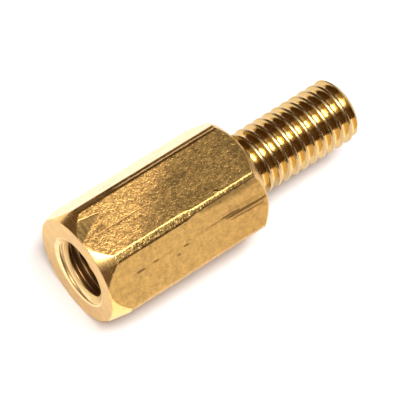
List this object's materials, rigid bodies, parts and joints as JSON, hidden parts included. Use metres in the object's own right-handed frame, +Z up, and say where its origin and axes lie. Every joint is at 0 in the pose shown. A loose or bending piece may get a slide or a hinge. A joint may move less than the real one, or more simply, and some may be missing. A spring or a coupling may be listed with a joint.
{
  "type": "hex standoff",
  "caption": "Brass hexagon standoff with turned, tapered ends: a threaded stud leaves the shoulder, and a countersunk blind threaded hole opens at the opposite end.",
  "frame": {"origin": "on the axis, in the shoulder plane where the stud leaves the hexagon", "axes": "+X along the axis towards the tip of the stud; +Z up, square to the level flats, with the part lying on its lower flat; +Y completes a right-handed frame and passes through two corners of the hexagon"},
  "size_m": [0.0145, 0.0056, 0.005],
  "materials": {
    "brass": "drawn flats with a satin grain, bright turned ends and thread, bare and unplated"
  },
  "bodies": {
    "root": {"standoff": "brass"}
  },
  "joints": []
}
